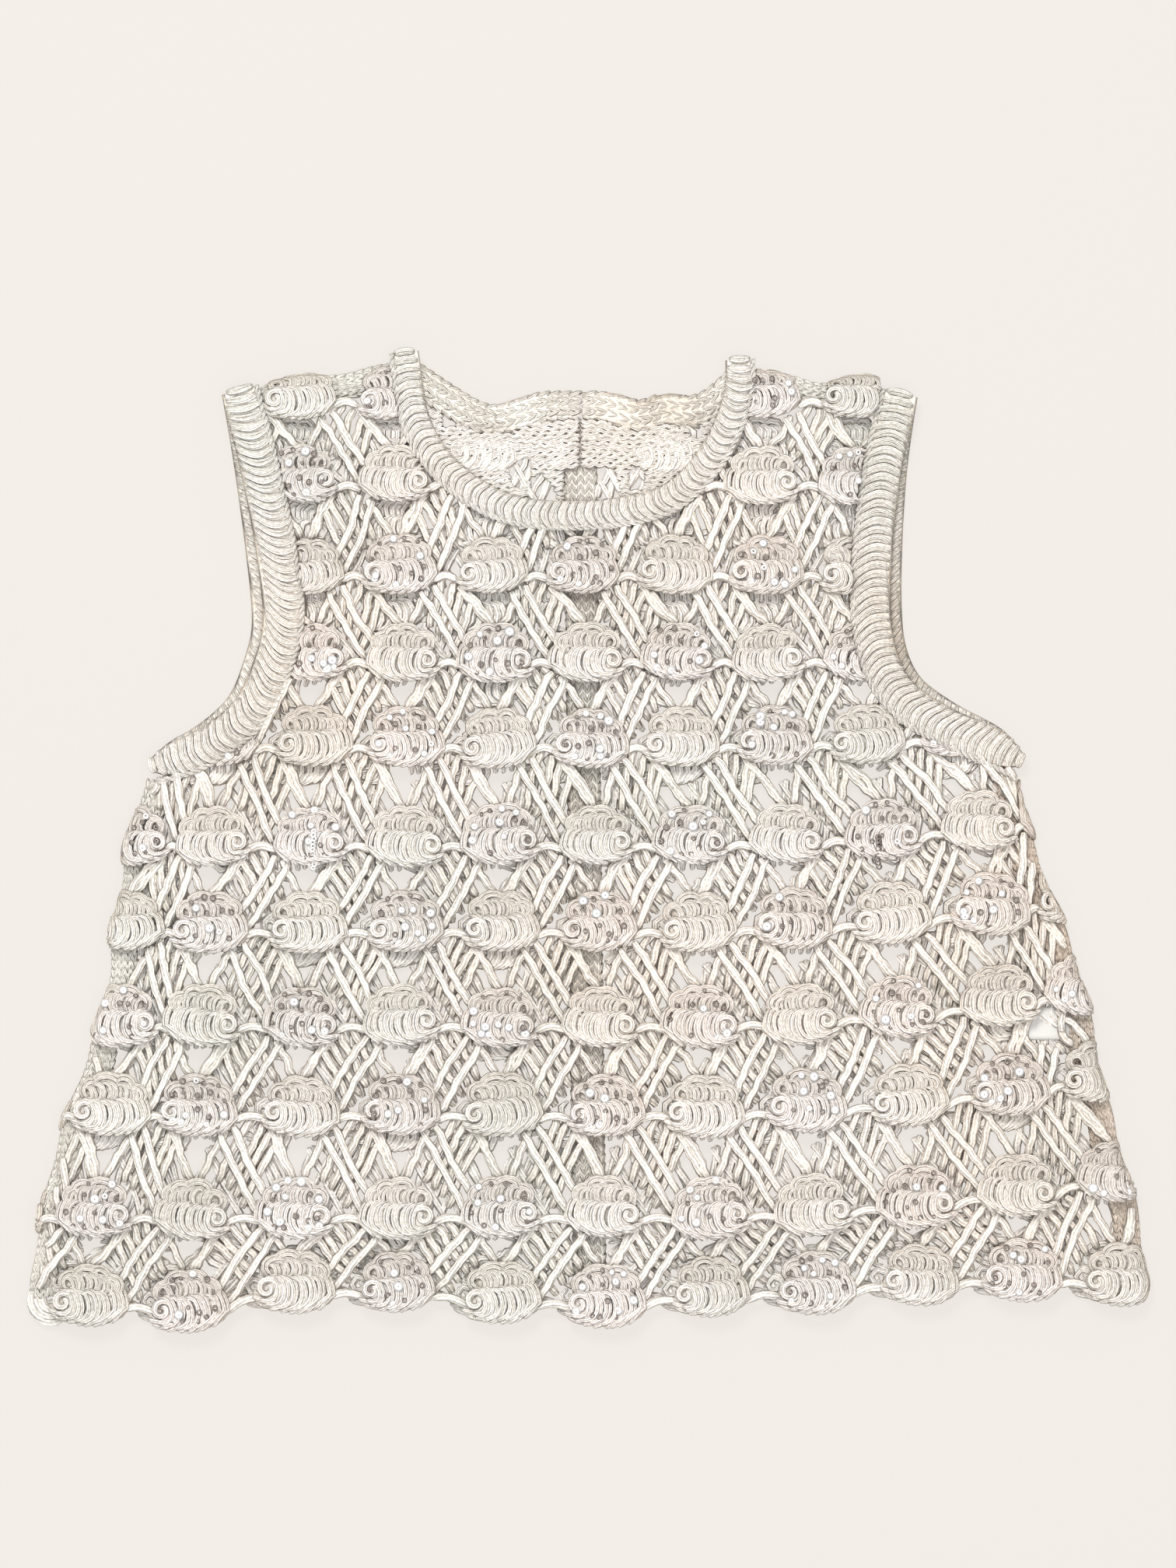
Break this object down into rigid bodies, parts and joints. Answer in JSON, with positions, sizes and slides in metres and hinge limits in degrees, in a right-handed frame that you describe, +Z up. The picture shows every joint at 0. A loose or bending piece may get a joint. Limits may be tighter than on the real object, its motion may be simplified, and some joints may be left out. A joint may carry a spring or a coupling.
{
  "type": "sleeveless crochet vest",
  "caption": "Sleeveless round-neck crochet vest in cotton, laid flat: two open lace layers with raised scallops, ribbed neck and armhole bands, scalloped hem.",
  "frame": {"origin": "middle of the garment's outline on the surface that it lies on", "axes": "+X across the garment to the viewer's right, which is the wearer's left; +Y from hem to neck; +Z up from the surface, through the back and then the front"},
  "size_m": [0.5755, 0.5065, 0.0175],
  "materials": {
    "cotton_lace": "matt soft cotton yarn, slightly fuzzy",
    "cotton_band": "matt soft cotton yarn, slightly fuzzy",
    "label_ribbon": "smooth woven ribbon with a faint sheen",
    "sequin": "clear to silvery gloss"
  },
  "bodies": {
    "root": {"front_panel": "cotton_lace", "back_panel_left": "cotton_lace", "back_panel_right": "cotton_lace", "back_centre_strip": "cotton_band", "neck_band_front": "cotton_band", "neck_band_back_left": "cotton_band", "neck_band_back_right": "cotton_band", "arm_band_front_left": "cotton_band", "arm_band_front_right": "cotton_band", "arm_band_back_left": "cotton_band", "arm_band_back_right": "cotton_band", "side_seam_left": "cotton_band", "side_seam_right": "cotton_band", "shoulder_seam_left": "cotton_band", "shoulder_seam_right": "cotton_band", "care_label": "label_ribbon"}
  },
  "joints": []
}
